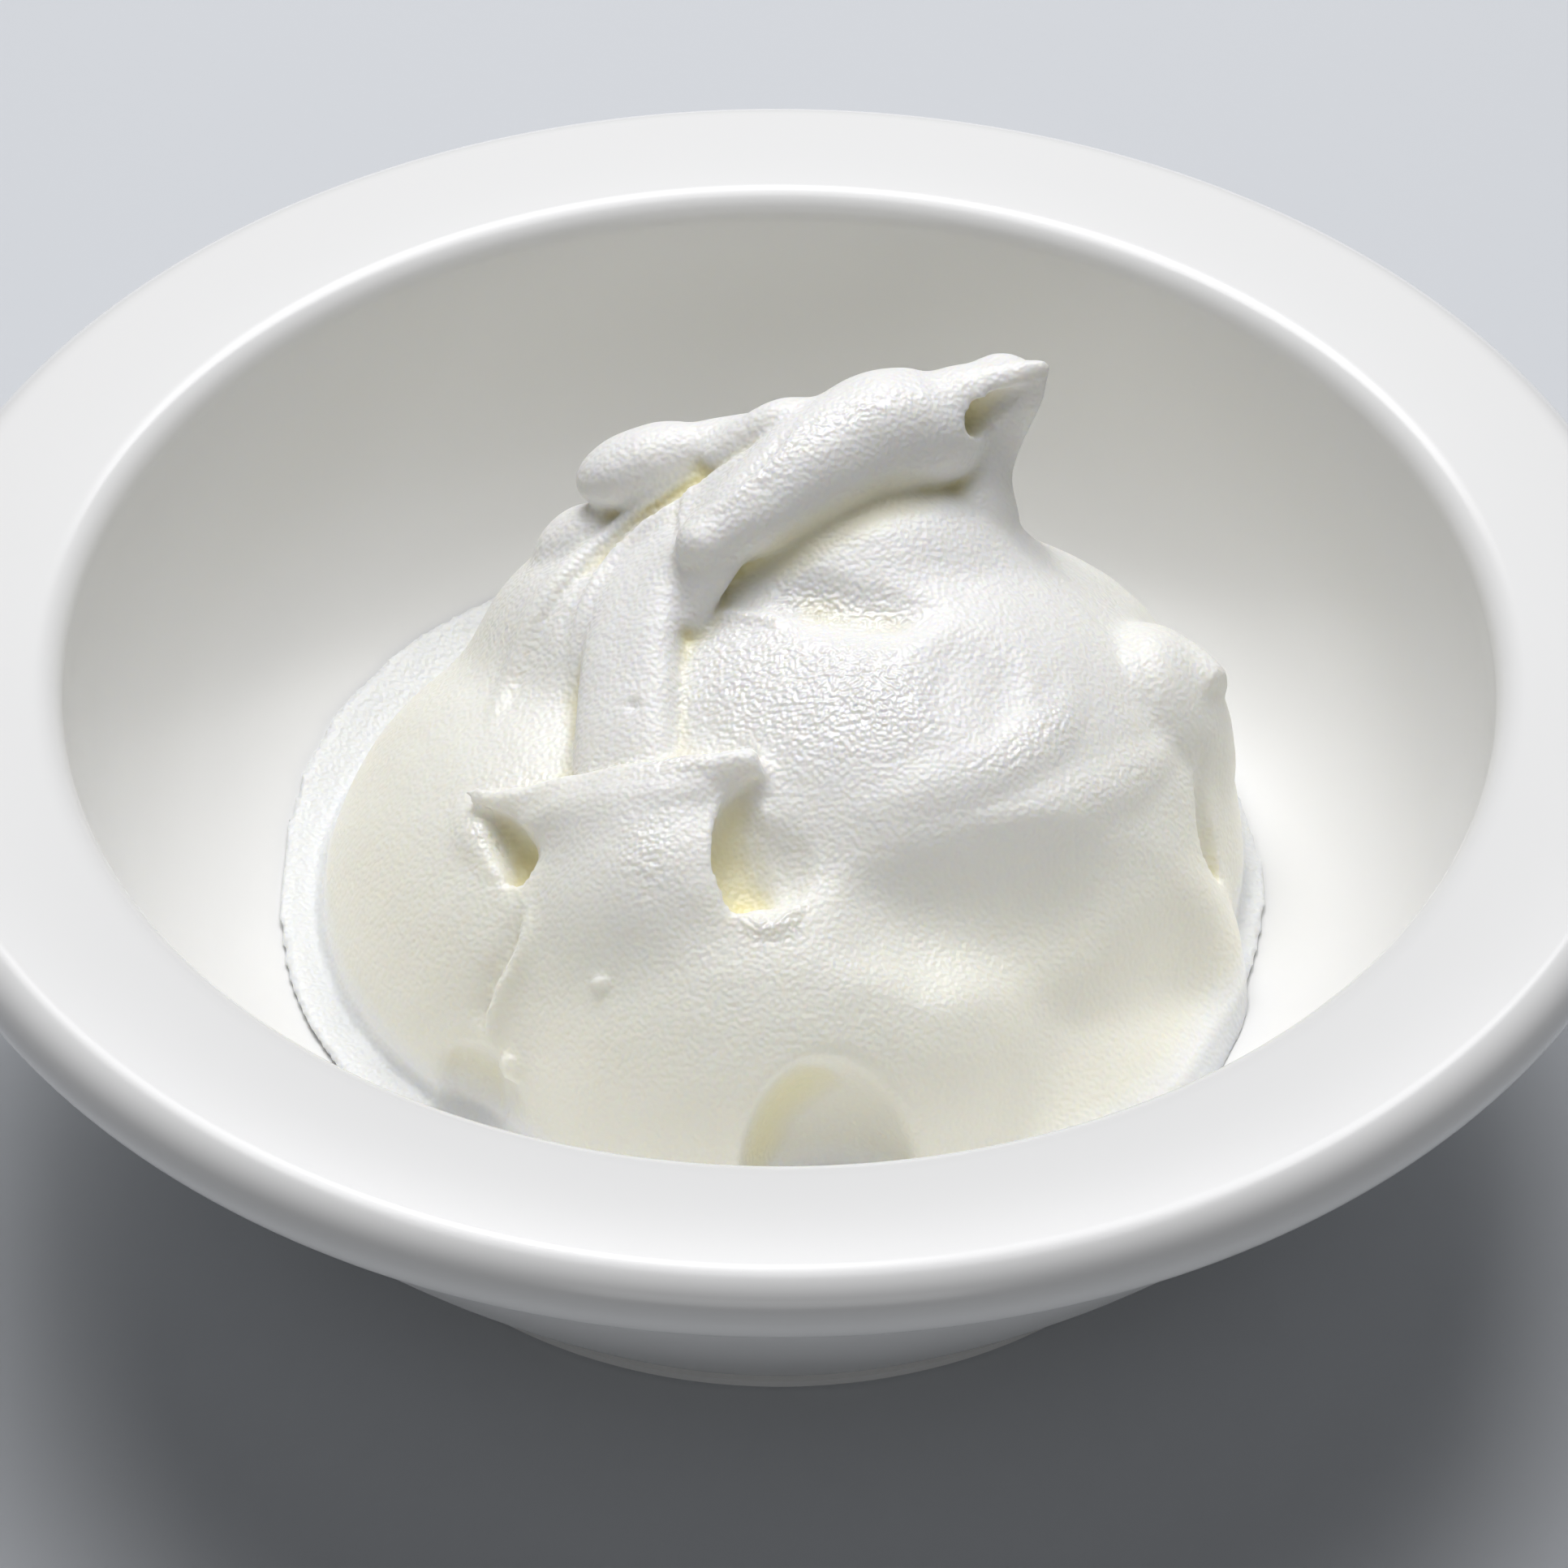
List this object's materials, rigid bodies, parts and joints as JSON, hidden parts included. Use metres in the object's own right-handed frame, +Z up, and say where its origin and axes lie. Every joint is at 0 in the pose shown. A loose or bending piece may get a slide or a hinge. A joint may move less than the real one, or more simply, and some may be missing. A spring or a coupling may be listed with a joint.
{
  "type": "bowl of sour cream",
  "caption": "Dollop of sour cream with a curled peak, folds and spoon hollows, in a small round wide-rimmed white glazed bowl.",
  "frame": {"origin": "middle of the foot ring, on the surface that the bowl stands on", "axes": "+Z up along the bowl's turning axis; -Y towards the viewer; +X to the viewer's right"},
  "size_m": [0.13, 0.13, 0.0482],
  "materials": {
    "porcelain": "smooth clear glaze over white porcelain",
    "cream": "moist satin sour cream with a fine grain of bubbles"
  },
  "bodies": {
    "root": {"bowl": "porcelain", "sour_cream": "cream"}
  },
  "joints": []
}
